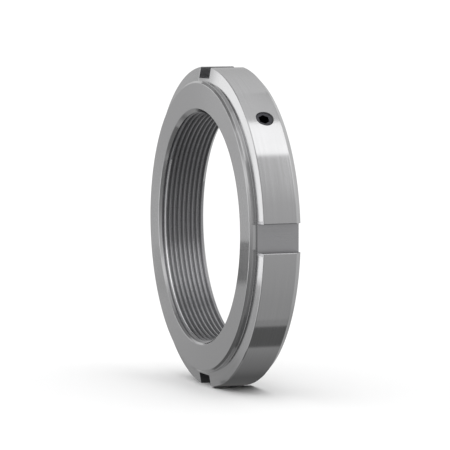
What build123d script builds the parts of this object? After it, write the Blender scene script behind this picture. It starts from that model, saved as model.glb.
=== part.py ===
from build123d import *
from math import ceil, cos, radians, sin, tan
import os

# Bearing lock nut, M95 x 2, standing on its rim.
# The bore axis is +X, and the origin is the centre of the threaded bore, half way between the faces.
# The raised contact boss faces -X. All sizes are in millimetres.

# Ring
outer_radius = 65.0
nut_width = 20.0
back_chamfer = 2.6

# Contact boss and the shallow conical shoulder round it
boss_radius = 59.25
boss_height = 2.5
boss_chamfer = 0.9
shoulder_rise = 1.0
shoulder_edge_break = 0.3

# Main thread, right-hand
thread_major_radius = 47.5
thread_pitch = 2.0
thread_half_angle = 30.0
# Where the groove's helix starts, straight above the bore axis, in front of the contact face
thread_lead_in = 1.98
# Depth of the basic 60 degree internal thread, 5/8 of the height of its sharp triangle
thread_depth = thread_pitch * 5 / 8 * cos(radians(thread_half_angle))
bore_radius = thread_major_radius - thread_depth
# The mouth chamfers open out to a little beyond the root of the thread
mouth_clearance = 0.5
bore_mouth_radius = thread_major_radius + mouth_clearance

# Spanner slots
slot_count = 4
slot_width = 11.5
slot_depth = 4.8
slot_edge_break = 0.25

# Radial grub screw, half way between two slots
screw_angle = 45.0
screw_from_face = 11.0
screw_radius = 4.0
screw_length = 8.0
screw_recess = 0.4
screw_travel = 1.0
screw_clearance = 0.05
screw_end_clearance = 0.2
screw_mouth_chamfer = 0.7
screw_point_chamfer = 1.25
socket_across_flats = 4.0
socket_depth = 4.5
socket_tip_radius = 0.2
socket_cone_angle = 120.0

# Locking insert under the screw, its inner end just behind the root of the main thread
insert_radius = 3.35
insert_clearance = 0.05
insert_standoff = 0.1
insert_end_chamfer = 0.3

# Places along the bore axis
front_x = -nut_width / 2
back_x = nut_width / 2
shoulder_inner_x = front_x + boss_height
shoulder_outer_x = shoulder_inner_x + shoulder_rise
screw_x = front_x + screw_from_face

# Distances from the bore axis
slot_floor_radius = outer_radius - slot_depth
screw_outer_end = outer_radius - screw_recess
screw_inner_end = screw_outer_end - screw_length
insert_inner_end = thread_major_radius + insert_standoff
tapped_depth = screw_recess + screw_length + screw_travel + screw_end_clearance
cutter_margin = 2.0

# Section of the thread's groove: a plain V that starts a little inside the bore, so that it breaks its wall
groove_overlap = 0.3
groove_depth = thread_depth + groove_overlap
groove_half_mouth = groove_depth * tan(radians(thread_half_angle))
thread_turns = ceil((nut_width + 2 * thread_lead_in) / thread_pitch)

# The direction in which the screw points out of the ring
outward = Vector(0, -cos(radians(screw_angle)), sin(radians(screw_angle)))
outward_axis = Axis(origin=(0, 0, 0), direction=outward)


def radial_plane(distance):
    """Plane across the screw's axis, at a distance from the bore axis, facing outwards."""
    return Plane(origin=Vector(screw_x, 0, 0) + outward * distance, x_dir=(1, 0, 0), z_dir=outward)


# Cutter for one turn of the main thread's groove, the first in front of the contact face
with BuildPart() as turn_cutter:
    with BuildLine():
        groove_path = Helix(
            pitch=thread_pitch,
            height=thread_pitch,
            radius=thread_major_radius,
            center=(front_x - thread_lead_in, 0, 0),
            direction=(1, 0, 0),
        )
    groove_start = groove_path @ 0
    from_axis = Vector(0, groove_start.Y, groove_start.Z)
    with BuildSketch(Plane(origin=groove_start, x_dir=from_axis, z_dir=groove_path % 0)):
        Polygon(
            (0, 0),
            (-groove_depth, groove_half_mouth),
            (-groove_depth, -groove_half_mouth),
            align=None,
        )
    sweep(is_frenet=True)

# Nut body: one turned ring with milled slots, one tapped hole and the main thread
with BuildPart() as nut_body:
    with BuildSketch(Plane.XY) as ring_section:
        with BuildLine():
            Polyline(
                (front_x, bore_mouth_radius),
                (front_x + bore_mouth_radius - bore_radius, bore_radius),
                (back_x - bore_mouth_radius + bore_radius, bore_radius),
                (back_x, bore_mouth_radius),
                (back_x, outer_radius - back_chamfer),
                (back_x - back_chamfer, outer_radius),
                (shoulder_outer_x, outer_radius),
                (shoulder_inner_x, boss_radius),
                (front_x + boss_chamfer, boss_radius),
                (front_x, boss_radius - boss_chamfer),
                close=True,
            )
        make_face()
        shoulder_edge = ring_section.vertices().group_by(Axis.Y)[-1].sort_by(Axis.X)[0]
        chamfer(shoulder_edge, length=shoulder_edge_break)
    revolve(axis=Axis.X)

    # Spanner slots, right through from face to face
    cutter_height = slot_depth + cutter_margin
    with BuildSketch(Plane.YZ.offset(front_x - cutter_margin)):
        with PolarLocations(slot_floor_radius + cutter_height / 2, slot_count):
            Rectangle(cutter_height, slot_width)
    extrude(amount=nut_width + 2 * cutter_margin, mode=Mode.SUBTRACT)
    slot_half_way = slot_floor_radius + slot_depth / 2
    slot_mouths = [
        edge
        for edge in nut_body.edges().filter_by(Axis.X)
        if edge.distance_to(Vector(edge.center().X, 0, 0)) > slot_half_way
    ]
    chamfer(slot_mouths, length=slot_edge_break)

    # Tapped hole for the screw, with the insert's narrower hole below it
    with Locations(radial_plane(outer_radius)):
        CounterBoreHole(
            radius=insert_radius + insert_clearance,
            counter_bore_radius=screw_radius + screw_clearance,
            counter_bore_depth=tapped_depth,
            depth=outer_radius - bore_radius + cutter_margin,
        )

    # Main thread, turn by turn, so that it runs out on both mouth chamfers
    for turn in range(thread_turns):
        add(turn_cutter.part.moved(Location((turn * thread_pitch, 0, 0))), mode=Mode.SUBTRACT)

# Grub screw: flat point inwards, hexagon socket outwards
with BuildPart() as grub_screw:
    with BuildSketch(radial_plane(screw_inner_end)):
        Circle(screw_radius)
    extrude(amount=screw_length)
    screw_rims = grub_screw.edges().filter_by(GeomType.CIRCLE).sort_by(outward_axis)
    chamfer(screw_rims[0], length=screw_point_chamfer)
    chamfer(screw_rims[-1], length=screw_mouth_chamfer)
    with BuildSketch(radial_plane(screw_outer_end)):
        RegularPolygon(radius=socket_across_flats / 2, side_count=6, major_radius=False)
    extrude(amount=-socket_depth, mode=Mode.SUBTRACT)
    with Locations(radial_plane(screw_outer_end - socket_depth)):
        CounterSinkHole(
            radius=socket_tip_radius,
            counter_sink_radius=socket_across_flats / 2,
            depth=socket_across_flats / 2,
            counter_sink_angle=socket_cone_angle,
        )

# Locking insert: a plug whose inner end follows the bore
with BuildPart() as locking_insert:
    with BuildSketch(radial_plane(screw_inner_end)):
        Circle(insert_radius)
    extrude(amount=-(screw_inner_end - insert_inner_end + cutter_margin))
    insert_top = locking_insert.edges().filter_by(GeomType.CIRCLE).sort_by(outward_axis)[-1]
    chamfer(insert_top, length=insert_end_chamfer)
    Cylinder(radius=insert_inner_end, height=nut_width, rotation=(0, 90, 0), mode=Mode.SUBTRACT)

nut_body.part.label = "nut_body"
grub_screw.part.label = "grub_screw"
locking_insert.part.label = "locking_insert"

os.makedirs("parts", exist_ok=True)
export_step(nut_body.part, "parts/nut_body.step")
export_step(grub_screw.part, "parts/grub_screw.step")
export_step(locking_insert.part, "parts/locking_insert.step")
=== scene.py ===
# %% [markdown]
# # Bearing lock nut
# A round nut that screws onto a shaft and presses a bearing against its shoulder. It is one turned steel
# ring, M95 x 2 inside and 130 mm across, with four spanner slots and one radial grub screw that locks it.
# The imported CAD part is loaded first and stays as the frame. Each of its three pieces is then made again
# with what the plain solids leave out: the real threads, the small edge rounds and the machined finish.

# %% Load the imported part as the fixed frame
import math

import bmesh
import bpy
from mathutils import Matrix, Vector


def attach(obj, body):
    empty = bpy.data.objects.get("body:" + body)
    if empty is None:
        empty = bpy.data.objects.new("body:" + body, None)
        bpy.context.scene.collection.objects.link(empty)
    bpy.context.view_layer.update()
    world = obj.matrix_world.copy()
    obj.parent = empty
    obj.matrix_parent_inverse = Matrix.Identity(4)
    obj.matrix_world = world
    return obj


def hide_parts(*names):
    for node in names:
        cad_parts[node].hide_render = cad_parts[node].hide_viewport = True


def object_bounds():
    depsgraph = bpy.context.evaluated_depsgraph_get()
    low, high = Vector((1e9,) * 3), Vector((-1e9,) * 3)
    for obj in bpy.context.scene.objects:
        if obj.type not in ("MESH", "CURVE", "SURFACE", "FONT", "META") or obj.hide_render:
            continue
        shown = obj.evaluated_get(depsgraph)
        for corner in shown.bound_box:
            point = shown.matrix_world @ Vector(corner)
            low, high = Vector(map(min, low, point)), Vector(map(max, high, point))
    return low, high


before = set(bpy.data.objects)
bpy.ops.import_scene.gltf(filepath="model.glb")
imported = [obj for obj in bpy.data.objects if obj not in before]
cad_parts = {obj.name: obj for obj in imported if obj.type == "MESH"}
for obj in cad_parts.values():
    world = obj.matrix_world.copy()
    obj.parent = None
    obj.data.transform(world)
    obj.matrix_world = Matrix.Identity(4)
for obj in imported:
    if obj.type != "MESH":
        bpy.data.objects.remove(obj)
box_of_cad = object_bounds()
print("CAD box in mm:", [[round(value * 1000, 2) for value in corner] for corner in box_of_cad])

# %% [markdown]
# ## Sizes
# The sizes repeat those of the CAD part, in metres. The bore axis is X and the contact boss faces -X.

# %% Sizes of the ring
MM = 0.001
OUTER_R = 65.0 * MM
HALF_WIDTH = 10.0 * MM
BACK_CHAMFER = 2.6 * MM
BOSS_R = 59.25 * MM
BOSS_HEIGHT = 2.5 * MM
BOSS_CHAMFER = 0.9 * MM
SHOULDER_RISE = 1.0 * MM
THREAD_MAJOR_R = 47.5 * MM
THREAD_PITCH = 2.0 * MM
THREAD_DEPTH = THREAD_PITCH * 5 / 8 * math.cos(math.radians(30))
BORE_R = THREAD_MAJOR_R - THREAD_DEPTH
MOUTH_CLEARANCE = 0.5 * MM
MOUTH_R = THREAD_MAJOR_R + MOUTH_CLEARANCE
print("bore and thread diameter in mm:", round(2 * BORE_R / MM, 3), round(2 * THREAD_MAJOR_R / MM, 3))

# %% [markdown]
# ## Small helpers
# A finished mesh becomes an object at the origin. Edges that turn by more than a few degrees are marked
# sharp, so that a flat face stays flat in its reflections, and the rest is shaded smooth.

# %% Turn a bmesh into an object, and cut one object with another
SHARP_ANGLE = math.radians(12)
# Corners nearer to each other than this, in metres, become one
WELD = 1e-7


def make_piece(name, shape):
    """Stores a bmesh as an object at the origin."""
    mesh = bpy.data.meshes.new(name)
    bmesh.ops.remove_doubles(shape, verts=shape.verts, dist=WELD)
    bmesh.ops.recalc_face_normals(shape, faces=shape.faces)
    shape.to_mesh(mesh)
    shape.free()
    piece = bpy.data.objects.new(name, mesh)
    bpy.context.scene.collection.objects.link(piece)
    return piece


def combine(piece, tool, operation):
    """Cuts the tool out of the piece, or joins it on, and throws the tool away."""
    modifier = piece.modifiers.new("combine", "BOOLEAN")
    modifier.operation = operation
    modifier.solver = "MANIFOLD"
    modifier.object = tool
    graph = bpy.context.evaluated_depsgraph_get()
    result = bpy.data.meshes.new_from_object(piece.evaluated_get(graph))
    piece.modifiers.clear()
    piece.data = result
    result.name = piece.name
    bpy.data.objects.remove(tool)


def shade(piece):
    """Smooth shading, with the machined edges kept sharp."""
    piece.data.polygons.foreach_set("use_smooth", [True] * len(piece.data.polygons))
    piece.data.set_sharp_from_angle(angle=SHARP_ANGLE)
    piece.data.update()


def triangles(piece):
    """How many triangles the piece's faces come to."""
    return sum(len(face.vertices) - 2 for face in piece.data.polygons)


# %% [markdown]
# ## The turned ring
# A lathe makes the real ring, so spinning its half section about the bore axis is the natural way. Each
# corner of the section gets a tiny round, because a deburred edge is what catches the light on machined
# steel. The shallow cone between the boss and the outer cylinder is part of the same section.

# %% Spin the ring from its section
TURN_STEPS = 288
EDGE_BREAK = 0.12 * MM
STEP_ROUND = 0.15 * MM
SHOULDER_ROUND = 0.3 * MM
FRONT_X = -HALF_WIDTH
BACK_X = HALF_WIDTH

section = [
    (FRONT_X, MOUTH_R, EDGE_BREAK),
    (FRONT_X + MOUTH_R - BORE_R, BORE_R, 0),
    (BACK_X - MOUTH_R + BORE_R, BORE_R, 0),
    (BACK_X, MOUTH_R, EDGE_BREAK),
    (BACK_X, OUTER_R - BACK_CHAMFER, EDGE_BREAK),
    (BACK_X - BACK_CHAMFER, OUTER_R, EDGE_BREAK),
    (FRONT_X + BOSS_HEIGHT + SHOULDER_RISE, OUTER_R, SHOULDER_ROUND),
    (FRONT_X + BOSS_HEIGHT, BOSS_R, STEP_ROUND),
    (FRONT_X + BOSS_CHAMFER, BOSS_R, EDGE_BREAK),
    (FRONT_X, BOSS_R - BOSS_CHAMFER, EDGE_BREAK),
]


def spin_section(points, steps):
    """Spins a closed section of (x, radius, corner round) about the X axis."""
    shape = bmesh.new()
    corners = [shape.verts.new((x, 0, r)) for x, r, _ in points]
    shape.faces.new(corners)
    shape.verts.index_update()
    for vertex, (_, _, round_size) in zip(corners, points):
        if round_size:
            bmesh.ops.bevel(
                shape, geom=[vertex], offset=round_size, offset_type="OFFSET",
                segments=2, profile=0.5, affect="VERTICES", material=-1,
            )
    bmesh.ops.delete(shape, geom=list(shape.faces), context="FACES_ONLY")
    outline = [*shape.verts, *shape.edges]
    bmesh.ops.spin(
        shape, geom=outline, cent=(0, 0, 0), axis=(1, 0, 0),
        angle=math.tau, steps=steps, use_merge=True, use_duplicate=False,
    )
    return shape


ring = make_piece("nut_ring", spin_section(section, TURN_STEPS))
print("ring faces:", len(ring.data.polygons))

# %% [markdown]
# ## Spanner slots
# A milling cutter goes straight through from face to face, four times round the ring. One block with the
# slot's section does the same here: it is extruded along the bore axis, turned to its place and cut out.
# The block flares where it leaves the ring, which leaves the small chamfer along both mouths of the slot.

# %% Cut the four slots
SLOT_DEPTH = 4.8 * MM
SLOT_FLOOR_R = OUTER_R - SLOT_DEPTH
SLOT_HALF = 5.75 * MM
SLOT_BREAK = 0.25 * MM
MARGIN = 2.0 * MM


def slot_block(turn):
    """A block longer than the ring is wide, with the section of one slot."""
    rim_at = math.sqrt(OUTER_R**2 - SLOT_HALF**2) - SLOT_BREAK
    wide = SLOT_HALF + SLOT_BREAK
    rim_to = math.sqrt(OUTER_R**2 - wide**2)
    slope = (rim_to - rim_at) / SLOT_BREAK
    half = [(SLOT_HALF, SLOT_FLOOR_R), (SLOT_HALF, rim_at), (wide + MARGIN, rim_to + slope * MARGIN)]
    outline = half + [(-y, z) for y, z in reversed(half)]
    shape = bmesh.new()
    face = shape.faces.new([shape.verts.new((FRONT_X - MARGIN, y, z)) for y, z in outline])
    pushed = bmesh.ops.extrude_face_region(shape, geom=[face], use_keep_orig=True)["geom"]
    ends = [item for item in pushed if isinstance(item, bmesh.types.BMVert)]
    bmesh.ops.translate(shape, verts=ends, vec=(2 * (HALF_WIDTH + MARGIN), 0, 0))
    bmesh.ops.rotate(shape, verts=shape.verts, cent=(0, 0, 0), matrix=Matrix.Rotation(turn, 3, "X"))
    return make_piece("slot_block", shape)


for quarter in range(4):
    combine(ring, slot_block(quarter * math.tau / 4), "DIFFERENCE")
print("faces with slots:", len(ring.data.polygons))

# %% [markdown]
# ## The main thread
# A single-point tool cuts a 60 degree groove that climbs 2 mm a turn. Spinning the groove's section with a
# step along the axis gives the same helix, and cutting that out of the plain bore lets the thread run out
# on both chamfers by itself, as on the real nut. It is a right-hand thread.

# %% Cut the helical groove of the main thread
FLANK = math.tan(math.radians(30))
HELIX_WELD = 1e-6
THREAD_PHASE = math.radians(7)
THREAD_PHASE_X = FRONT_X + 3.56 * MM
THREAD_TURNS = 12
BORE_OVERCUT = 0.3 * MM


def trapezoid(inner_half, inner_r, outer_half, outer_r):
    """A groove's section in (x, radius), from half its width at an inner and at an outer radius."""
    return [(-inner_half, inner_r), (inner_half, inner_r), (outer_half, outer_r), (-outer_half, outer_r)]


def groove(section_points, pitch, start_x, turns, steps_per_turn):
    """A right-hand helical bar: a section of (x, radius) points swept about the X axis from angle 0."""
    shape = bmesh.new()
    loop = [shape.verts.new((start_x + x, r, 0)) for x, r in section_points]
    edges = [shape.edges.new((a, b)) for a, b in zip(loop, loop[1:] + loop[:1])]
    bmesh.ops.spin(
        shape, geom=[*loop, *edges], cent=(0, 0, 0), axis=(1, 0, 0), dvec=(pitch / steps_per_turn, 0, 0),
        angle=math.tau, steps=steps_per_turn, use_merge=False, use_duplicate=False,
    )
    one_turn = [*shape.verts, *shape.edges, *shape.faces]
    for turn in range(1, turns):
        copy = bmesh.ops.duplicate(shape, geom=one_turn)["geom"]
        moved = [item for item in copy if isinstance(item, bmesh.types.BMVert)]
        bmesh.ops.translate(shape, verts=moved, vec=(pitch * turn, 0, 0))
    bmesh.ops.remove_doubles(shape, verts=shape.verts, dist=HELIX_WELD)
    bmesh.ops.holes_fill(shape, edges=[edge for edge in shape.edges if edge.is_boundary], sides=4)
    return shape


inner_cut_r = BORE_R - BORE_OVERCUT
root_half = THREAD_PITCH / 16
mouth_half = root_half + (THREAD_MAJOR_R - inner_cut_r) * FLANK
thread_section = trapezoid(mouth_half, inner_cut_r, root_half, THREAD_MAJOR_R)
axial_at_zero = THREAD_PHASE_X - THREAD_PITCH * THREAD_PHASE / math.tau
thread_start = axial_at_zero - THREAD_PITCH * math.ceil((axial_at_zero - FRONT_X) / THREAD_PITCH + 0.5)
main_groove = groove(thread_section, THREAD_PITCH, thread_start, THREAD_TURNS, TURN_STEPS)
combine(ring, make_piece("main_groove", main_groove), "DIFFERENCE")
print("faces with thread:", len(ring.data.polygons))

# %% [markdown]
# ## The screw's hole
# The tapped M8 hole goes in from the rim, half way between two slots, and a narrower hole for the locking
# insert goes on into the bore. The tools for it are made upright and then leaned over to the hole's axis.
# Below the thread is a short relief as wide as the thread's root, where a real tap would run out.

# %% Sizes of the hole and its thread
SCREW_X = FRONT_X + 11.0 * MM
LEAN = math.radians(45)
SCREW_SUNK = 0.4 * MM
SCREW_TOP = OUTER_R - SCREW_SUNK
SCREW_LENGTH = 8.0 * MM
RELIEF_LENGTH = 1.2 * MM
TAPPED_BOTTOM = SCREW_TOP - SCREW_LENGTH - RELIEF_LENGTH
INSERT_HOLE_R = 3.4 * MM
HOLE_PLAY = 0.05 * MM
HOLE_OVERCUT = 0.1 * MM
M8_PITCH = 1.25 * MM
M8_MAJOR_R = 4.0 * MM
M8_MINOR_R = M8_MAJOR_R - M8_PITCH * 5 / 8 * math.cos(math.radians(30))
M8_STEPS = 48
M8_TURNS = 9
M8_START = TAPPED_BOTTOM + 0.7 * MM
print("tapped hole in mm from the bore axis:", round(TAPPED_BOTTOM / MM, 2), "to", round(OUTER_R / MM, 2))

# %% Tools for round things on the hole's axis
# Local axes of the hole: X stays X, and the tool's Z points out of the ring
onto_hole = Matrix.Translation((SCREW_X, 0, 0)) @ Matrix.Rotation(LEAN, 4, "X")


def rod(name, radius, bottom, top, segments=M8_STEPS):
    """A plain round rod along Z."""
    shape = bmesh.new()
    bmesh.ops.create_cone(
        shape, cap_ends=True, segments=segments, radius1=radius, radius2=radius, depth=top - bottom,
    )
    bmesh.ops.translate(shape, verts=shape.verts, vec=(0, 0, (top + bottom) / 2))
    return make_piece(name, shape)


def m8_groove(name, points, bottom, turns):
    """A helical bar of the M8 thread along Z, in step with every other one."""
    shape = groove(points, M8_PITCH, 0, turns, M8_STEPS)
    upright = Matrix(((0, 1, 0), (0, 0, 1), (1, 0, 0)))
    bmesh.ops.transform(shape, matrix=upright.to_4x4(), verts=shape.verts)
    bmesh.ops.translate(shape, verts=shape.verts, vec=(0, 0, bottom))
    return make_piece(name, shape)


def lean(piece):
    """Moves a piece that was made along Z into the screw's hole."""
    piece.data.transform(onto_hole)
    return piece


# %% Cut the stepped hole and its M8 thread
hole_floor_r = BORE_R - MARGIN
hole_root_r = M8_MAJOR_R + HOLE_PLAY
for name, radius, bottom, top in (
    ("insert_hole", INSERT_HOLE_R, hole_floor_r, OUTER_R),
    ("tapping_hole", M8_MINOR_R + HOLE_PLAY, TAPPED_BOTTOM, OUTER_R + MARGIN),
    ("thread_relief", hole_root_r, TAPPED_BOTTOM, TAPPED_BOTTOM + RELIEF_LENGTH),
):
    combine(ring, lean(rod(name, radius, bottom, top)), "DIFFERENCE")

hole_root_half = M8_PITCH / 16
hole_mouth_half = hole_root_half + (hole_root_r - M8_MINOR_R + HOLE_OVERCUT) * FLANK
hole_section = trapezoid(hole_mouth_half, M8_MINOR_R - HOLE_OVERCUT, hole_root_half, hole_root_r)
combine(ring, lean(m8_groove("tapped_groove", hole_section, M8_START, M8_TURNS)), "DIFFERENCE")
shade(ring)
print("ring triangles:", triangles(ring))

# %% [markdown]
# ## The grub screw
# A socket set screw is a threaded rod with a flat point and a hexagon socket. It is spun from its section,
# the same helix is cut into its outside with a little play, and the socket is cut last.

# %% Spin the screw's blank
POINT_CHAMFER = 1.25 * MM
TOP_CHAMFER = 0.7 * MM
bottom_r = SCREW_TOP - SCREW_LENGTH

shape = bmesh.new()
side = [
    (0, bottom_r), (M8_MAJOR_R - POINT_CHAMFER, bottom_r), (M8_MAJOR_R, bottom_r + POINT_CHAMFER),
    (M8_MAJOR_R, SCREW_TOP - TOP_CHAMFER), (M8_MAJOR_R - TOP_CHAMFER, SCREW_TOP), (0, SCREW_TOP),
]
points = [shape.verts.new((r, 0, z)) for r, z in side]
edges = [shape.edges.new(pair) for pair in zip(points, points[1:])]
bmesh.ops.spin(
    shape, geom=[*points, *edges], cent=(0, 0, 0), axis=(0, 0, 1), angle=math.tau,
    steps=M8_STEPS, use_merge=True, use_duplicate=False,
)
screw = make_piece("grub_screw_threaded", shape)
print("screw blank faces:", len(screw.data.polygons))

# %% Cut the screw's thread and its socket
FLANK_PLAY = 0.03 * MM
ROOT_PLAY = 0.07 * MM
SCREW_OVERCUT = 0.05 * MM
SOCKET_FLATS = 4.0 * MM
SOCKET_DEPTH = 4.5 * MM

screw_root_r = M8_MINOR_R - ROOT_PLAY
screw_root_half = M8_PITCH / 8 - ROOT_PLAY * FLANK + FLANK_PLAY
screw_mouth_r = M8_MAJOR_R + SCREW_OVERCUT
screw_mouth_half = screw_root_half + (screw_mouth_r - screw_root_r) * FLANK
screw_section = trapezoid(screw_root_half, screw_root_r, screw_mouth_half, screw_mouth_r)
combine(screw, m8_groove("screw_groove", screw_section, M8_START - M8_PITCH / 2, M8_TURNS), "DIFFERENCE")

socket_corner_r = SOCKET_FLATS / 2 / math.cos(math.radians(30))
socket = rod("socket", socket_corner_r, SCREW_TOP - SOCKET_DEPTH, SCREW_TOP + MARGIN, segments=6)
combine(screw, socket, "DIFFERENCE")
lean(screw)
shade(screw)
print("screw triangles:", triangles(screw))

# %% [markdown]
# ## The locking insert
# Under the screw sits a soft plug whose inner end follows the bore, so that it can press on the shaft's
# thread without hurting it. It is a rod whose inner end is cut by a cylinder along the bore axis.

# %% Make the plug and break its outer edge
INSERT_R = 3.35 * MM
INSERT_BEHIND_THREAD = 0.1 * MM
INSERT_EDGE = 0.3 * MM
ON_PLANE = 1e-6

insert_end_r = THREAD_MAJOR_R + INSERT_BEHIND_THREAD
insert = rod("locking_plug", INSERT_R, insert_end_r - MARGIN, bottom_r)
shape = bmesh.new()
shape.from_mesh(insert.data)
top_edges = [edge for edge in shape.edges if all(vertex.co.z > bottom_r - ON_PLANE for vertex in edge.verts)]
bmesh.ops.bevel(
    shape, geom=top_edges, offset=INSERT_EDGE, offset_type="OFFSET", segments=2, profile=0.5,
    affect="EDGES", material=-1,
)
shape.to_mesh(insert.data)
shape.free()
lean(insert)
print("plug faces:", len(insert.data.polygons))

# %% Cut its inner end to the curve of the bore


def round_the_bore(radius, length, segments, closed):
    """A round bar, or an open drum, whose axis is the bore's."""
    shape = bmesh.new()
    bmesh.ops.create_cone(
        shape, cap_ends=closed, segments=segments, radius1=radius, radius2=radius, depth=length,
    )
    sideways = Matrix.Rotation(math.radians(90), 3, "Y")
    bmesh.ops.rotate(shape, verts=shape.verts, cent=(0, 0, 0), matrix=sideways)
    return shape


bore_rod = round_the_bore(insert_end_r, 4 * HALF_WIDTH, TURN_STEPS, closed=True)
combine(insert, make_piece("bore_rod", bore_rod), "DIFFERENCE")
shade(insert)
print("insert triangles:", triangles(insert))

# %% [markdown]
# ## Let the pieces ride on the CAD bodies
# Each detailed piece stands for one CAD node and moves with that node's body.

# %% Ride and replace
for piece, body, node, slot in (
    (ring, "nut", "nut_body", "turned_steel"),
    (screw, "screw", "grub_screw", "black_oxide_steel"),
    (insert, "insert", "locking_insert", "brass"),
):
    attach(piece, body)
    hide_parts(node)

# %% [markdown]
# ## Materials
# One function turns an sRGB hex colour to the linear values that the shader takes, and one adds a node.
# All surfaces start from the same one: a colour, a gloss and, for turned faces, a tangent round the bore.

# %% Colour, node and surface helpers
QUARTER_TURN = 0.25


def linear(hex_colour):
    """Linear RGBA of an sRGB hex colour."""
    parts = [int(hex_colour[i:i + 2], 16) / 255 for i in (0, 2, 4)]
    return [c / 12.92 if c <= 0.04045 else ((c + 0.055) / 1.055) ** 2.4 for c in parts] + [1.0]


def add(tree, kind, settings=None, **inputs):
    """Adds a node with its settings, and sets or links its inputs, by name or by number (in0 is the first)."""
    node = tree.nodes.new(kind)
    for name, value in (settings or {}).items():
        setattr(node, name, value)
    for key, value in inputs.items():
        numbered = key.startswith("in") and key[2:].isdigit()
        into = node.inputs[int(key[2:]) if numbered else key.replace("_", " ")]
        if isinstance(value, bpy.types.NodeSocket):
            tree.links.new(value, into)
        else:
            into.default_value = value
    return node


def surface(name, colour, roughness, anisotropic=0.0, metallic=1.0):
    """A bare surface; where it is anisotropic, it is brushed round the bore axis."""
    material = bpy.data.materials.new(name)
    material.use_nodes = True
    tree = material.node_tree
    shader = tree.nodes["Principled BSDF"]
    shader.inputs["Base Color"].default_value = linear(colour)
    shader.inputs["Metallic"].default_value = metallic
    shader.inputs["Roughness"].default_value = roughness
    shader.inputs["Anisotropic"].default_value = anisotropic
    if anisotropic:
        shader.inputs["Anisotropic Rotation"].default_value = QUARTER_TURN
        tangent = add(tree, "ShaderNodeTangent", {"direction_type": "RADIAL", "axis": "X"})
        tree.links.new(tangent.outputs[0], shader.inputs["Tangent"])
    return material, tree, shader


# %% [markdown]
# ## Turned steel
# The ring is plain carbon steel, turned on a lathe and left bare, so it is a grey metal with fine grooves
# round the bore axis. The grooves spread the light across them and keep it sharp along them, which is
# anisotropy with its tangent round the axis. The pattern is read along the section (x and radius), so it
# makes rings on the faces and lines round the cylinders, and it changes only slowly round the ring.

# %% Where on the ring's section a point lies
BARE_STEEL = "C4C4C5"
# A real feed mark is about 0.1 mm wide. One pixel of the picture is 0.4 mm, so they are drawn wider.
LINE_SPACING = 0.5 * MM
RADIUS_SHARE = 0.6

turned_steel, tree, shader = surface("turned_steel", BARE_STEEL, 0.14, anisotropic=0.9)
place = add(tree, "ShaderNodeTexCoord").outputs["Object"]
parts = add(tree, "ShaderNodeSeparateXYZ", in0=place)
across = add(tree, "ShaderNodeCombineXYZ", in1=parts.outputs["Y"], in2=parts.outputs["Z"])
radius = add(tree, "ShaderNodeVectorMath", {"operation": "LENGTH"}, in0=across.outputs[0])
toward = add(tree, "ShaderNodeVectorMath", {"operation": "NORMALIZE"}, in0=across.outputs[0])
along = add(
    tree, "ShaderNodeMath", {"operation": "MULTIPLY_ADD"},
    in0=radius.outputs["Value"], in1=RADIUS_SHARE, in2=parts.outputs["X"],
)
lines_at = add(tree, "ShaderNodeMath", {"operation": "DIVIDE"}, in0=along.outputs[0], in1=LINE_SPACING)
unit = add(tree, "ShaderNodeSeparateXYZ", in0=toward.outputs[0])
ring_place = add(
    tree, "ShaderNodeCombineXYZ", in0=lines_at.outputs[0], in1=unit.outputs["Y"], in2=unit.outputs["Z"],
)
print("turned lines, width in mm:", LINE_SPACING / MM)

# %% Turned lines in the tone and in the gloss
# Most of a noise pattern lies between these two values
NOISE_LOW = 0.3
NOISE_HIGH = 0.7

lines = add(tree, "ShaderNodeTexNoise", in0=ring_place.outputs[0], Scale=1.0, Detail=3.0, Roughness=0.6)
tone = add(
    tree, "ShaderNodeMapRange", Value=lines.outputs["Fac"],
    From_Min=NOISE_LOW, From_Max=NOISE_HIGH, To_Min=0.96, To_Max=1.03,
)
grey = add(tree, "ShaderNodeCombineColor", in0=tone.outputs[0], in1=tone.outputs[0], in2=tone.outputs[0])
# Inputs 6 and 7 of this node are the two colours that it multiplies
tinted = add(
    tree, "ShaderNodeMix", {"data_type": "RGBA", "blend_type": "MULTIPLY"},
    Factor=1.0, in6=linear(BARE_STEEL), in7=grey.outputs[0],
)
tree.links.new(tinted.outputs[2], shader.inputs["Base Color"])
rough = add(
    tree, "ShaderNodeMapRange", Value=lines.outputs["Fac"],
    From_Min=NOISE_LOW, From_Max=NOISE_HIGH, To_Min=0.12, To_Max=0.17,
)
tree.links.new(rough.outputs[0], shader.inputs["Roughness"])
print("turned steel nodes:", len(tree.nodes))

# %% [markdown]
# ## Metals with a grain
# The other finishes are even in colour, and only their gloss changes a little from spot to spot, as it
# does on any machined metal. A noise pattern drives the roughness, and its size is given as the real size
# of a spot. Real marks are a few hundredths of a millimetre, too fine for pixels of 0.4 mm, so all the
# sizes below are drawn coarser than the real ones.

# %% A metal whose gloss changes from grain to grain


def grained(name, colour, roughness, grain, smoothest, roughest, anisotropic=0.0, mark_length=None):
    """A metal with spots of one size in metres, or with marks along X when it has a mark length."""
    material, tree, shader = surface(name, colour, roughness, anisotropic)
    place = add(tree, "ShaderNodeTexCoord").outputs["Object"]
    scale = 1 / grain
    if mark_length:
        place = add(tree, "ShaderNodeMapping", Vector=place, Scale=(1 / mark_length, scale, scale)).outputs[0]
        scale = 1.0
    pattern = add(tree, "ShaderNodeTexNoise", in0=place, Scale=scale, Detail=2.0)
    rough = add(
        tree, "ShaderNodeMapRange", Value=pattern.outputs["Fac"],
        From_Min=NOISE_LOW, From_Max=NOISE_HIGH, To_Min=smoothest, To_Max=roughest,
    )
    tree.links.new(rough.outputs[0], shader.inputs["Roughness"])
    print(name, "grain in mm:", round(grain / MM, 2))
    return material
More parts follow.
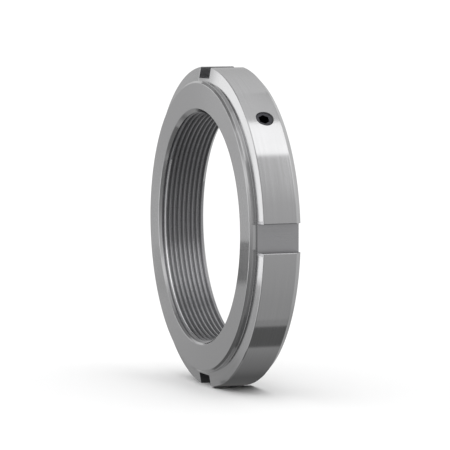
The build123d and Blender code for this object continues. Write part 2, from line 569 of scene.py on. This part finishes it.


# %% [markdown]
# ## Cut thread and the land before it
# The thread is duller and darker than the turned faces, and its roughness blurs the strips of light
# between the grooves. A thin white line runs round the front rim of the bore, where a narrow land lies
# between the chamfer and the first groove. That line is a painted highlight: the land gets a steel colour
# much brighter than the rest of the bore. How that land is finished is a guess: a brighter, burnished
# steel draws the line there.

# %% Cut thread and land with a painted highlight
THREAD_GRAIN = MM / 1.8
cut_thread = grained("cut_thread_steel", "A2A2A4", 0.3, THREAD_GRAIN, 0.26, 0.34, anisotropic=0.8)
# The land's very bright colour is a painted highlight, the thin white line round the bore's front rim
painted_highlight_land = grained("burnished_steel", "F4F4F5", 0.3, THREAD_GRAIN, 0.26, 0.34, anisotropic=0.8)

# %% [markdown]
# ## Milled slots
# The cutter leaves straight marks along the slot, so the grain is stretched along the bore axis. The
# steel has no one direction of light here, so it isn't anisotropic. The side walls get a darker colour than
# the floor: painted shade between two walls that face each other, which shows as the dark edge of each slot.

# %% Milled floor, and walls with painted shade
MARK_WIDTH = 0.4 * MM
MARK_LENGTH = 50 / 3 * MM
milled_steel = grained("milled_steel", "B6B6B8", 0.32, MARK_WIDTH, 0.26, 0.38, mark_length=MARK_LENGTH)
# The side walls' darker colour is painted shade between the two walls that face each other
milled_wall = grained("milled_wall_steel", "7E7E80", 0.34, MARK_WIDTH, 0.3, 0.4, mark_length=MARK_LENGTH)

# %% [markdown]
# ## Tapped hole and ground contact face
# The wall of the small hole is given a dark, dull steel: its darkness is painted shade inside the hole,
# which looks dark round the screw. The contact face has to lie true against the bearing, so it is taken as
# ground: the colour of the turned steel with no lines in it, and only a weak change of gloss.

# %% Hole wall with painted shade, and fine contact face
HOLE_GRAIN = 0.4 * MM
GROUND_GRAIN = MM / 0.9
# The hole wall's dark colour is painted shade inside the hole round the screw
painted_shade_hole_wall = grained("tapped_hole_steel", "505052", 0.4, HOLE_GRAIN, 0.36, 0.46)
ground_face = grained("ground_face_steel", BARE_STEEL, 0.14, GROUND_GRAIN, 0.13, 0.15, anisotropic=0.9)

# %% [markdown]
# ## Black oxide and brass
# The screw is hardened steel with a black oxide skin, which makes it a dark metal with a soft gloss. The
# insert is brass, softer than the shaft. Its warm yellow shows at once which piece is the soft one.

# %% Screw and insert metals
OXIDE_GRAIN = MM / 3
BRASS_GRAIN = 0.4 * MM
black_oxide = grained("black_oxide_steel", "4C4C50", 0.38, OXIDE_GRAIN, 0.32, 0.46)
brass = grained("turned_brass", "D9BE7A", 0.3, BRASS_GRAIN, 0.24, 0.38)

# %% [markdown]
# ## Which face has which finish
# The ring is one mesh with seven materials: four finishes, and three that carry painted light, which are
# the painted shade on the slot walls and in the screw's hole and the painted highlight on the land at the
# front rim of the bore. Painting them on by hand would be lost with every new cut, so each face is given
# its material from where it lies, with the sizes that the ring was made with.

# %% Tell the finish of a face from its place
NEAR = 1e-5
ON_SURFACE = 0.02 * MM
WALL_BAND = 0.05 * MM
RIM_BAND = 0.05 * MM
HOLE_ZONE_R = 4.2 * MM
LAND_TO_X = FRONT_X + 2.7 * MM
# A face turned this far toward the hole's axis is a floor or the rim, and not the hole's wall
FACES_ALONG_HOLE = 0.95
hole_axis = onto_hole.to_3x3() @ Vector((0, 0, 1))


def in_hole(face):
    """True for the walls of the screw's hole."""
    from_hole = face.center - Vector((SCREW_X, 0, 0))
    outward = from_hole.dot(hole_axis)
    off_axis = (from_hole - outward * hole_axis).length
    return off_axis < HOLE_ZONE_R and outward > BORE_R and abs(face.normal.dot(hole_axis)) < FACES_ALONG_HOLE


def in_thread(face):
    """True where every corner lies between the bore's wall and the thread's root."""
    corners = [ring.data.vertices[index].co for index in face.vertices]
    return all(BORE_R - NEAR < math.hypot(co.y, co.z) < THREAD_MAJOR_R + NEAR for co in corners)


def finish_of(face):
    """The material of one face of the ring: its finish, or its painted shade or highlight."""
    spot = face.center
    from_axis = math.hypot(spot.y, spot.z)
    sideways, outward = sorted((abs(spot.y), abs(spot.z)))
    in_slot = sideways < SLOT_HALF + SLOT_BREAK + NEAR and outward > SLOT_FLOOR_R - NEAR
    # The land at the bore's front rim gets the painted highlight
    if spot.x < LAND_TO_X and abs(from_axis - BORE_R) < ON_SURFACE:
        return painted_highlight_land
    # The walls of the screw's hole get the painted shade
    if in_hole(face):
        return painted_shade_hole_wall
    if in_thread(face):
        return cut_thread
    # The slot's side walls get the painted shade
    if in_slot and abs(sideways - SLOT_HALF) < WALL_BAND:
        return milled_wall
    if in_slot and from_axis <= OUTER_R - RIM_BAND:
        return milled_steel
    if spot.x < FRONT_X + ON_SURFACE:
        return ground_face
    return turned_steel


# %% Give the pieces their materials
finishes = [turned_steel, milled_steel, cut_thread, milled_wall, ground_face, painted_shade_hole_wall, painted_highlight_land]
ring.data.materials.clear()
for finish in finishes:
    ring.data.materials.append(finish)
for face in ring.data.polygons:
    face.material_index = finishes.index(finish_of(face))
for number, finish in enumerate(finishes):
    print(finish.name, "faces:", sum(face.material_index == number for face in ring.data.polygons))

for piece, material in ((screw, black_oxide), (insert, brass)):
    piece.data.materials.clear()
    piece.data.materials.append(material)
    piece.data.polygons.foreach_set("material_index", [0] * len(piece.data.polygons))

# %% [markdown]
# ## Camera
# The photograph was taken with a long lens from 20.5 degrees to the left and 4.8 degrees above. The camera
# was fitted to the outlines of the ring, the boss, the bore and the slots.

# %% Camera
LENS_MM = 281.87
SENSOR_MM = 36.0
CAMERA_AT = (-0.49985, -1.33823, 0.11922)
LOOKS_ALONG = Vector((0.34975353, 0.93316882, -0.08287591))
NEAREST = 0.05
FARTHEST = 50.0

camera_data = bpy.data.cameras.new("camera")
camera_data.sensor_width = SENSOR_MM
camera_data.lens = LENS_MM
camera_data.clip_start = NEAREST
camera_data.clip_end = FARTHEST
camera = bpy.data.objects.new("camera", camera_data)
camera.location = CAMERA_AT
camera.rotation_mode = "QUATERNION"
camera.rotation_quaternion = LOOKS_ALONG.to_track_quat("-Z", "Y")
bpy.context.scene.collection.objects.link(camera)
bpy.context.scene.camera = camera
print("camera distance in m:", round(Vector(CAMERA_AT).length, 3))

# %% [markdown]
# ## Floor and light
# The floor is plain and pale, and lit evenly from all round, so that the ring has only a soft shadow where
# it stands. What the steel shows is set apart from that: panels far away on all sides, which only
# reflections see, as a photographer puts white and black boards round a shiny thing.

# %% Floor and even light
FLOOR_R = 6.0
EVEN_LIGHT = 1.22


def dull(name, colour, roughness):
    """A matt surface that is no metal and mirrors nothing."""
    material, _, shader = surface(name, colour, roughness, metallic=0.0)
    shader.inputs["Specular IOR Level"].default_value = 0.0
    return material


floor_shape = bmesh.new()
bmesh.ops.create_circle(floor_shape, cap_ends=True, segments=64, radius=FLOOR_R)
bmesh.ops.translate(floor_shape, verts=floor_shape.verts, vec=(0, 0, box_of_cad[0].z))
floor = make_piece("floor", floor_shape)
floor.data.materials.append(dull("pale_floor", "F2F2F2", 0.9))
floor.visible_glossy = False

world = bpy.data.worlds.new("even_light")
world.use_nodes = True
background = world.node_tree.nodes["Background"]
background.inputs["Color"].default_value = (1.0, 1.0, 1.0, 1.0)
background.inputs["Strength"].default_value = EVEN_LIGHT
bpy.context.scene.world = world
world.cycles_visibility.glossy = False
print("floor height in mm:", round(box_of_cad[0].z / MM, 2))

# %% [markdown]
# ## Boards that only reflections see
# A board is a flat face that glows. Bare metal shows the radiance of a board times its own colour, so a
# board's radiance was first worked out from how bright the steel is in the photograph where it shows that
# board, and then adjusted by comparing pictures. Some boards change from one side to the other, which a
# colour ramp along one axis does.

# %% Glowing materials
TURN = "turn about X"


def glow(name, strength):
    """An emitting material, its tree and its emission node."""
    material = bpy.data.materials.new(name)
    material.use_nodes = True
    tree = material.node_tree
    tree.nodes.clear()
    out = tree.nodes.new("ShaderNodeOutputMaterial")
    light = add(tree, "ShaderNodeEmission", Strength=strength)
    tree.links.new(light.outputs[0], out.inputs["Surface"])
    return material, tree, light


def plain(name, radiance):
    """A glow that is the same all over."""
    return glow(name, radiance)[0]


def turn_about_x(tree, parts):
    """Degrees round the X axis: 0 toward the front (-Y), 90 up."""
    front = add(tree, "ShaderNodeMath", {"operation": "MULTIPLY"}, in0=parts.outputs["Y"], in1=-1.0)
    angle = add(
        tree, "ShaderNodeMath", {"operation": "ARCTAN2"}, in0=parts.outputs["Z"], in1=front.outputs[0],
    )
    return add(tree, "ShaderNodeMath", {"operation": "DEGREES"}, in0=angle.outputs[0]).outputs[0]


def graded(name, along, low, high, stops):
    """A glow that changes along X, Y, Z or TURN: stops are (place, radiance), low and high their range."""
    brightest = max(radiance for _, radiance in stops)
    material, tree, light = glow(name, brightest)
    place = add(tree, "ShaderNodeTexCoord").outputs["Object"]
    parts = add(tree, "ShaderNodeSeparateXYZ", in0=place)
    value = turn_about_x(tree, parts) if along == TURN else parts.outputs[along]
    ranged = add(tree, "ShaderNodeMapRange", Value=value, From_Min=low, From_Max=high)
    ramp = add(tree, "ShaderNodeValToRGB", in0=ranged.outputs[0])
    elements = ramp.color_ramp.elements
    while len(elements) < len(stops):
        elements.new(1.0)
    for element, (spot, radiance) in zip(elements, sorted(stops)):
        element.position = (spot - low) / (high - low)
        share = radiance / brightest
        element.color = (share, share, share, 1.0)
    tree.links.new(ramp.outputs[0], light.inputs["Color"])
    return material


# %% Boards and where they stand
BOARDS_AT = 3.0
LOW_WALLS_AT = 4.9


def only_in_reflections(piece, material):
    """Hides a glowing piece from everything but reflections."""
    piece.data.materials.append(material)
    piece.visible_camera = False
    piece.visible_diffuse = False
    piece.visible_shadow = False
    piece.visible_transmission = False


def board(name, corners, material):
    """A flat board with its corners in metres."""
    shape = bmesh.new()
    shape.faces.new([shape.verts.new(corner) for corner in corners])
    only_in_reflections(make_piece(name, shape), material)


def toward_sky(azimuth, elevation, distance):
    """A spot in a direction: azimuth from +Y round to -X, elevation above the horizon."""
    a, e = math.radians(azimuth), math.radians(elevation)
    return (-distance * math.sin(a) * math.cos(e), distance * math.cos(a) * math.cos(e), distance * math.sin(e))


def wall(name, spots, material, distance=BOARDS_AT):
    """A board that stands far off, with its corners as (azimuth, elevation)."""
    board(name, [toward_sky(azimuth, elevation, distance) for azimuth, elevation in spots], material)


def lying(name, spots, height, material):
    """A board that lies flat: corners as (x, y) in mm, height in metres."""
    board(name, [(x * MM, y * MM, height) for x, y in spots], material)


# %% [markdown]
# ## The room
# Behind all the boards is a large shell that is darker below and brighter above, like a pale room. It
# fills every reflection that no board covers.

# %% The shell of the room
WALLS_R = 8.0
shell_shape = bmesh.new()
bmesh.ops.create_icosphere(shell_shape, subdivisions=5, radius=WALLS_R)
wall_stops = [
    (-1, 0.36), (-0.6, 0.45), (-0.3, 0.50), (-0.25, 0.56), (-0.13, 0.62), (-0.083, 0.66), (0.05, 0.74),
    (0.3, 0.76), (1, 0.7),
]
walls = graded("studio_walls", "Z", -WALLS_R, WALLS_R, [(z * WALLS_R, r) for z, r in wall_stops])
only_in_reflections(make_piece("studio_walls", shell_shape), walls)
print("room radius in m:", WALLS_R)

# %% [markdown]
# ## Boards in front
# The outer cylinder is a convex mirror that shows everything in front of it, from the floor to the
# ceiling. A drum round the bore axis with stops by angle sets what it shows line by line, and that is
# simpler than a board for each line. The drum is open behind. A second, darker drum stands to the left,
# so that the step round the boss stays dark.

# %% The drum in front of the outer cylinder
DRUM_R = 3.0
DRUM_STEPS = 256
DRUM_FROM = 0.2
DRUM_TO = 4.2
# Up to here along X the drum also closes above and behind
CLOSED_TO = 2.0
BACK_SHARE = 0.35

drum_shape = bmesh.new()
rail = [drum_shape.verts.new((x, -DRUM_R, 0)) for x in (DRUM_FROM, CLOSED_TO, DRUM_TO)]
rails = [drum_shape.edges.new(pair) for pair in zip(rail, rail[1:])]
bmesh.ops.spin(
    drum_shape, geom=[*rail, *rails], cent=(0, 0, 0), axis=(1, 0, 0),
    angle=math.tau, steps=DRUM_STEPS, use_merge=True,
)
back_part = [
    face for face in drum_shape.faces
    if face.calc_center_median().y > BACK_SHARE * DRUM_R
    and (face.calc_center_median().x > CLOSED_TO or face.calc_center_median().z < 0)
]
bmesh.ops.delete(drum_shape, geom=back_part, context="FACES")
drum_stops = [
    (-110, 0.13), (-72.5, 0.13), (-71.5, 0.42), (-61, 0.42), (-49, 0.435), (-39, 0.465), (-29, 0.487),
    (-21, 0.503), (11, 0.58), (19, 0.59), (29, 0.61), (39, 0.65), (50, 0.69), (54.5, 0.69), (55.3, 1.58),
    (61, 1.61), (75, 1.66), (82.5, 1.60), (83.3, 0.82), (99, 0.82), (119, 0.78), (135, 0.72), (155, 0.58),
    (175, 0.6),
]
drum = make_piece("front_boards", drum_shape)
only_in_reflections(drum, graded("front_boards", TURN, -180, 180, drum_stops))
print("front drum faces:", len(drum.data.polygons))

# %% The darker drum on the left
LEFT_DRUM_LENGTH = 3.2
LEFT_DRUM_X = -1.4
LEFT_BACK_SHARE = 0.2

left_drum = round_the_bore(DRUM_R, LEFT_DRUM_LENGTH, DRUM_STEPS, closed=False)
bmesh.ops.translate(left_drum, verts=left_drum.verts, vec=(LEFT_DRUM_X, 0, 0))
back_half = [face for face in left_drum.faces if face.calc_center_median().y > LEFT_BACK_SHARE * DRUM_R]
bmesh.ops.delete(left_drum, geom=back_half, context="FACES")
left_stops = [(-120, 0.12), (-60, 0.22), (-20, 0.34), (30, 0.36), (50, 0.42), (65, 0.8), (90, 0.9)]
left = make_piece("front_left_boards", left_drum)
only_in_reflections(left, graded("front_left_boards", TURN, -180, 180, left_stops))
print("left drum faces:", len(left.data.polygons))

# %% [markdown]
# ## Walls behind on the left
# The contact face looks along -X, so from this camera it mirrors what stands about 20 degrees to the left
# of straight behind, and the cone round it mirrors the places beside that. Bright walls stand there, whose
# lower edge falls toward the left, with darker ones below them and a dark board above them that the
# chamfer round the boss shows.

# %% Bright walls
fade_stops = [(-1.6, 1.38), (-1.25, 1.36), (-1.12, 0.9), (-1.0, 0.57), (-0.6, 0.55)]
wall("back_wall_board", [(12, 2.4), (31, 0.6), (31, 16), (12, 16)], graded("back_wall", "X", -2, 0, fade_stops))
wall("corner_wall_board", [(31, -6.3), (62, -13.5), (62, 16), (31, 16)], plain("corner_wall", 1.42))
left_wall_stops = [
    (-2, 0.6), (-1.5, 0.7), (-1.26, 0.8), (-1.0, 1.0), (-0.63, 1.8), (-0.25, 2.1), (0.4, 2.1), (0.75, 1.1),
    (2, 0.9),
]
far_wall_stops = [
    (-2, 0.6), (-1.5, 0.7), (-1.26, 0.8), (-1.0, 0.95), (-0.63, 1.25), (-0.25, 1.35), (0.4, 1.35),
    (0.75, 0.95), (2, 0.8),
]
for name, spots, stops in (
    ("left_wall", [(55, -40), (68, -40), (68, 25), (55, 26)], left_wall_stops),
    ("far_left_wall", [(68, -40), (86, -40), (86, 24), (68, 25)], far_wall_stops),
):
    wall(name + "_board", spots, graded(name, "Z", -2, 2, stops))

# %% Darker walls below them
right_low_stops = [
    (-3.2, 0.33), (-0.8, 0.38), (-0.55, 0.44), (-0.4, 0.5), (-0.25, 0.51), (0.1, 0.54), (0.4, 0.6),
]
left_low_stops = [(-3.2, 0.36), (-1.9, 0.44), (-1.2, 0.53), (-0.8, 0.58), (-0.5, 0.58), (0.3, 0.58)]
for name, spots, stops in (
    ("low_back_wall", [(-5, -40), (31, -40), (31, 4), (-5, 6)], right_low_stops),
    ("low_corner_wall", [(31, -40), (87, -40), (87, 0), (31, 4)], left_low_stops),
):
    wall(name, spots, graded(name, "Z", -3.5, 1, stops), distance=LOW_WALLS_AT)

# %% The dark board above them
for name, spots, radiance in (
    ("upper_board", [(22, 25), (62, 25), (62, 50), (22, 50)], 0.25),
    ("upper_board_end", [(8, 22.5), (27, 33), (22, 38), (4, 28)], 0.26),
):
    wall(name, spots, plain(name, radiance))

# %% [markdown]
# ## The wall on the left
# A chamfer that turns about 45 degrees toward the camera mirrors what stands straight to the left. The
# wall there is dark below and above, with one bright strip between.

# %% The side wall with its bright strip
SIDE_X = -3
SIDE_REACH = 3
SIDE_HEIGHT = 5

side_stops = [
    (-4.3, 0.15), (-2.67, 0.20), (-1.59, 0.24), (-0.56, 0.36), (-0.27, 0.43), (0.45, 0.57), (1.0, 0.68),
    (1.35, 0.98), (1.85, 0.95), (2.1, 0.65), (2.35, 0.47), (3.27, 0.33), (3.83, 0.27), (5, 0.25),
]
side_corners = [
    (SIDE_X, -SIDE_REACH, -SIDE_HEIGHT), (SIDE_X, SIDE_REACH, -SIDE_HEIGHT),
    (SIDE_X, SIDE_REACH, SIDE_HEIGHT), (SIDE_X, -SIDE_REACH, SIDE_HEIGHT),
]
board("side_board", side_corners, graded("side_board", "Z", -SIDE_HEIGHT, SIDE_HEIGHT, side_stops))

# %% [markdown]
# ## Cards behind the bore
# The grooves of the thread mirror what stands just beyond the back of the bore, on the right. Two cards
# there, one bright and one that goes dark, set the light on the thread.

# %% Two cards that the thread shows
CARDS_FROM = 92 * MM
CARDS_TO = 225 * MM


def card_behind(name, low, high, material):
    """A card along X between two places (y, z) in mm."""
    (low_y, low_z), (high_y, high_z) = [(y * MM, z * MM) for y, z in (low, high)]
    corners = [
        (CARDS_FROM, low_y, low_z), (CARDS_TO, low_y, low_z),
        (CARDS_TO, high_y, high_z), (CARDS_FROM, high_y, high_z),
    ]
    board(name, corners, material)


bright_stops = [(78, 0.7), (95, 1.05), (120, 1.7), (185, 2.0), (196, 1.8), (205, 1.5)]
dark_stops = [(-124, 1.5), (-100, 1.3), (-75, 1.0), (-50, 0.55), (-30, 0.4), (62, 0.4)]
for name, low, high, along, reach, stops in (
    ("bright_card", (-222, 78), (-124, 205), "Z", (0, 0.3), bright_stops),
    ("dark_card", (-124, 205), (62, 250), "Y", (-0.15, 0.1), dark_stops),
):
    card_behind(name, low, high, graded(name, along, *reach, [(spot * MM, r) for spot, r in stops]))

# %% [markdown]
# ## What the lower parts see
# The real floor shows in the underside of the ring and of the boss, and it is darker where the ring
# shades it. The floor here is hidden from reflections, so small boards just under it give these parts
# their own ground. A small flag close on the left does the same for the near side of the boss face.

# %% Ground and flag
BELOW_RING = -65.2 * MM
GROUND_Z = box_of_cad[0].z - 0.1 * MM

ground_behind_spots = [(26, -20), (110, -20), (110, 100), (26, 100)]
front_ground_spots = [(-30, -50), (-11.5, -50), (-11.5, -3), (-30, -22)]
lying("ground_behind", ground_behind_spots, BELOW_RING, plain("ground_behind", 0.42))
lying("front_ground", front_ground_spots, BELOW_RING, plain("front_ground", 0.14))

flag_corners = [(-83, 74, -32.5), (-37, 92, -32.5), (-37, 92, -14.5), (-83, 74, -14.5)]
board("flag", [(x * MM, y * MM, z * MM) for x, y, z in flag_corners], plain("flag", 0.2))

ground_stops = [
    (-80, 0.36), (-63.8, 0.36), (-63.4, 0.14), (-47, 0.13), (-46, 0.34), (-38, 0.27), (-30, 0.21),
    (-22, 0.12), (0, 0.09), (22, 0.09), (60, 0.3),
]
ground = graded("shaded_ground", "Y", -0.08, 0.08, [(y * MM, r) for y, r in ground_stops])
lying("shaded_ground", [(-6, -70), (30, -70), (30, 60), (-6, 60)], GROUND_Z, ground)

# %% [markdown]
# ## The shadow where it stands
# With light from all round, the gap between the round ring and the floor would stay too bright. A black
# drape that follows the ring closely from below takes the stray light away there, and neither the camera
# nor a reflection sees it.

# %% A black drape close under the ring
DRAPE_R = OUTER_R + 0.25 * MM
DRAPE_STARTS = math.radians(-36)
DRAPE_TURN = math.radians(44)
DRAPE_STEPS = 48

drape_shape = bmesh.new()
hem = [drape_shape.verts.new((x, 0, -DRAPE_R)) for x in (FRONT_X + BOSS_HEIGHT, BACK_X)]
hem_edge = drape_shape.edges.new(hem)
bmesh.ops.rotate(drape_shape, verts=hem, cent=(0, 0, 0), matrix=Matrix.Rotation(DRAPE_STARTS, 3, "X"))
bmesh.ops.spin(
    drape_shape, geom=[*hem, hem_edge], cent=(0, 0, 0), axis=(1, 0, 0),
    angle=DRAPE_TURN, steps=DRAPE_STEPS, use_merge=False,
)
drape = make_piece("contact_drape", drape_shape)
drape.data.materials.append(dull("black_cloth", "050505", 1.0))
drape.visible_camera = False
drape.visible_glossy = False
print("drape faces:", len(drape.data.polygons))

# %% [markdown]
# ## Picture
# The radiances above were worked out for the plain sRGB view, so that is the one used.

# %% Picture settings
bpy.context.scene.view_settings.view_transform = "Standard"
